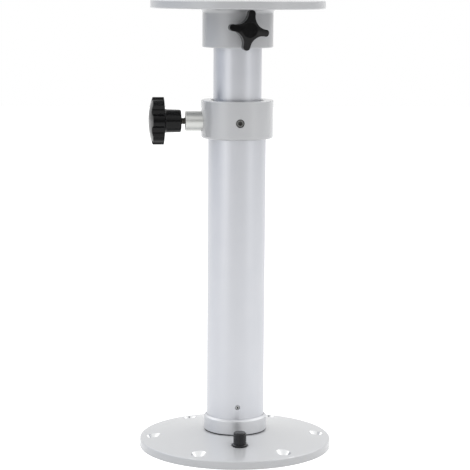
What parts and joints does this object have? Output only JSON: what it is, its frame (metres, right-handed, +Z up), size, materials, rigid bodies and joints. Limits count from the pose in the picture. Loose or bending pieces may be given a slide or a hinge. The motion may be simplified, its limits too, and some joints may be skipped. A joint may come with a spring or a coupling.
{
  "type": "removable table pedestal",
  "caption": "Removable telescoping table pedestal: round base plate with a locked socket, column with height clamp, swivelling top plate.",
  "frame": {"origin": "centre of the base plate's underside", "axes": "+Z up along the column; -Y towards the foot lock's knob; -X towards the height clamp's knob"},
  "size_m": [0.235, 0.235, 0.545],
  "materials": {
    "silver_coating": "satin silver powder coat on cast aluminium",
    "anodised_aluminium": "natural satin anodising",
    "turned_aluminium": "fine turned",
    "steel": "stainless, machined",
    "black_steel": "black oxide",
    "brass": "turned",
    "black_plastic": "glossy moulded",
    "nylon": "moulded",
    "rubber": "matt"
  },
  "bodies": {
    "base": {"base_plate": "silver_coating", "key_pin": "steel", "lock_cover": "steel", "lock_cover_screws": "steel"},
    "lock_bar": {"lock_bar": "steel"},
    "lock_washer": {"lock_washer": "nylon"},
    "lock_knob": {"lock_screw": "steel", "lock_knob": "black_plastic"},
    "column": {"foot_seal": "rubber", "foot": "turned_aluminium", "foot_set_screws": "black_steel", "column_tube": "anodised_aluminium", "collar": "silver_coating", "collar_set_screws": "black_steel", "guide_bush": "nylon", "clamp_boss": "turned_aluminium"},
    "height_clamp_pad": {"height_clamp_pad": "brass"},
    "height_clamp_knob": {"height_clamp_screw": "steel", "height_clamp_knob": "black_plastic"},
    "inner_column": {"inner_tube": "anodised_aluminium", "end_bush": "nylon"},
    "top_liner": {"top_liner": "nylon"},
    "top_support": {"top_support": "silver_coating"},
    "top_clamp_pad": {"top_clamp_pad": "brass"},
    "top_clamp_knob": {"top_clamp_screw": "steel", "top_clamp_knob": "black_plastic"}
  },
  "joints": [
    {"name": "column_lift", "type": "slide", "parent": "base", "child": "column", "axis": [0, 0, 1], "range_m": [0, 0.06]},
    {"name": "lock_knob_travel", "type": "slide", "parent": "base", "child": "lock_washer", "axis": [0, 0, 1], "range_m": [0, 0.0021]},
    {"name": "lock_knob_turn", "type": "hinge", "parent": "lock_washer", "child": "lock_knob", "pos_m": [0, -0.068, 0.02], "axis": [0, 0, 1], "range_deg": [0, 720]},
    {"name": "lock_bar_slide", "type": "slide", "parent": "base", "child": "lock_bar", "axis": [0, -1, 0], "range_m": [0, 0.0021]},
    {"name": "height_clamp_travel", "type": "slide", "parent": "column", "child": "height_clamp_pad", "axis": [-1, 0, 0], "range_m": [0, 0.0026]},
    {"name": "height_clamp_turn", "type": "hinge", "parent": "height_clamp_pad", "child": "height_clamp_knob", "pos_m": [-0.05, 0, 0.4005], "axis": [-1, 0, 0], "range_deg": [0, 720]},
    {"name": "height_adjust", "type": "slide", "parent": "column", "child": "inner_column", "axis": [0, 0, 1], "range_m": [-0.062, 0.155]},
    {"name": "top_lift", "type": "slide", "parent": "inner_column", "child": "top_liner", "axis": [0, 0, 1], "range_m": [0, 0.06]},
    {"name": "top_swivel", "type": "hinge", "parent": "top_liner", "child": "top_support", "pos_m": [0, 0, 0.53], "axis": [0, 0, 1], "continuous": true},
    {"name": "top_clamp_travel", "type": "slide", "parent": "top_support", "child": "top_clamp_pad", "axis": [0.1262, -0.992, 0], "range_m": [0, 0.0026]},
    {"name": "top_clamp_turn", "type": "hinge", "parent": "top_clamp_pad", "child": "top_clamp_knob", "pos_m": [0.00505, -0.03968, 0.5106], "axis": [0.1262, -0.992, 0], "range_deg": [0, 720]}
  ],
  "couplings": [
    {"joint": "lock_knob_travel", "follows": "lock_knob_turn", "m_per_rad": 0.00015915},
    {"joint": "lock_bar_slide", "follows": "lock_knob_turn", "m_per_rad": 0.00015915},
    {"joint": "height_clamp_travel", "follows": "height_clamp_turn", "m_per_rad": 0.00019894},
    {"joint": "top_clamp_travel", "follows": "top_clamp_turn", "m_per_rad": 0.00019894}
  ]
}
